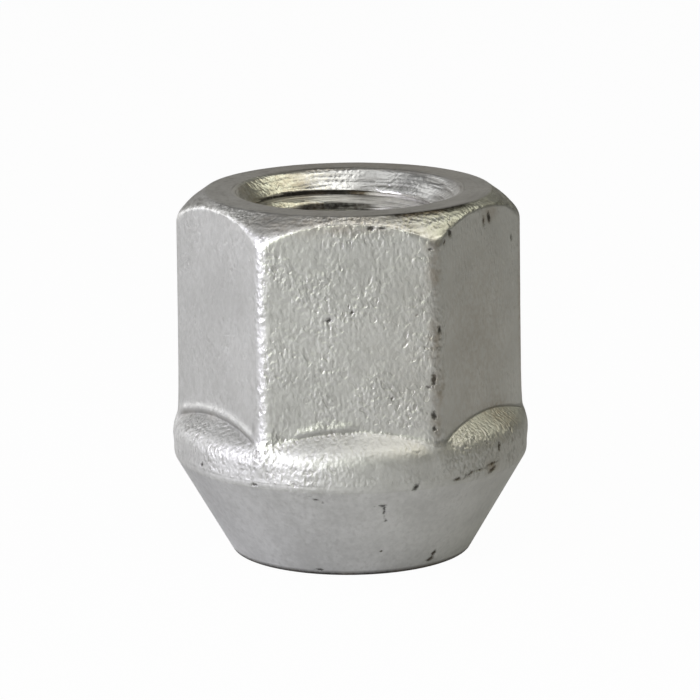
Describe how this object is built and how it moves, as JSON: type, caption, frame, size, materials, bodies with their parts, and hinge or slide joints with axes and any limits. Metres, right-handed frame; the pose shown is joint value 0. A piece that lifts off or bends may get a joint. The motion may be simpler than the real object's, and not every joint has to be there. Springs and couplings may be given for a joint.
{
  "type": "lug nut",
  "caption": "Open-ended wheel lug nut: wrench hexagon with a chamfered crown on a bulged collar, tapered conical seat below and a threaded bore right through.",
  "frame": {"origin": "centre of the small end of the conical seat, which the nut stands on", "axes": "+Z along the thread axis, from the seat towards the wrench hexagon; two corners of the hexagon lie on X"},
  "size_m": [0.0224, 0.0224, 0.023],
  "materials": {
    "zinc_coat": "satin silver zinc coat on forged steel"
  },
  "bodies": {
    "root": {"lug_nut": "zinc_coat"}
  },
  "joints": []
}
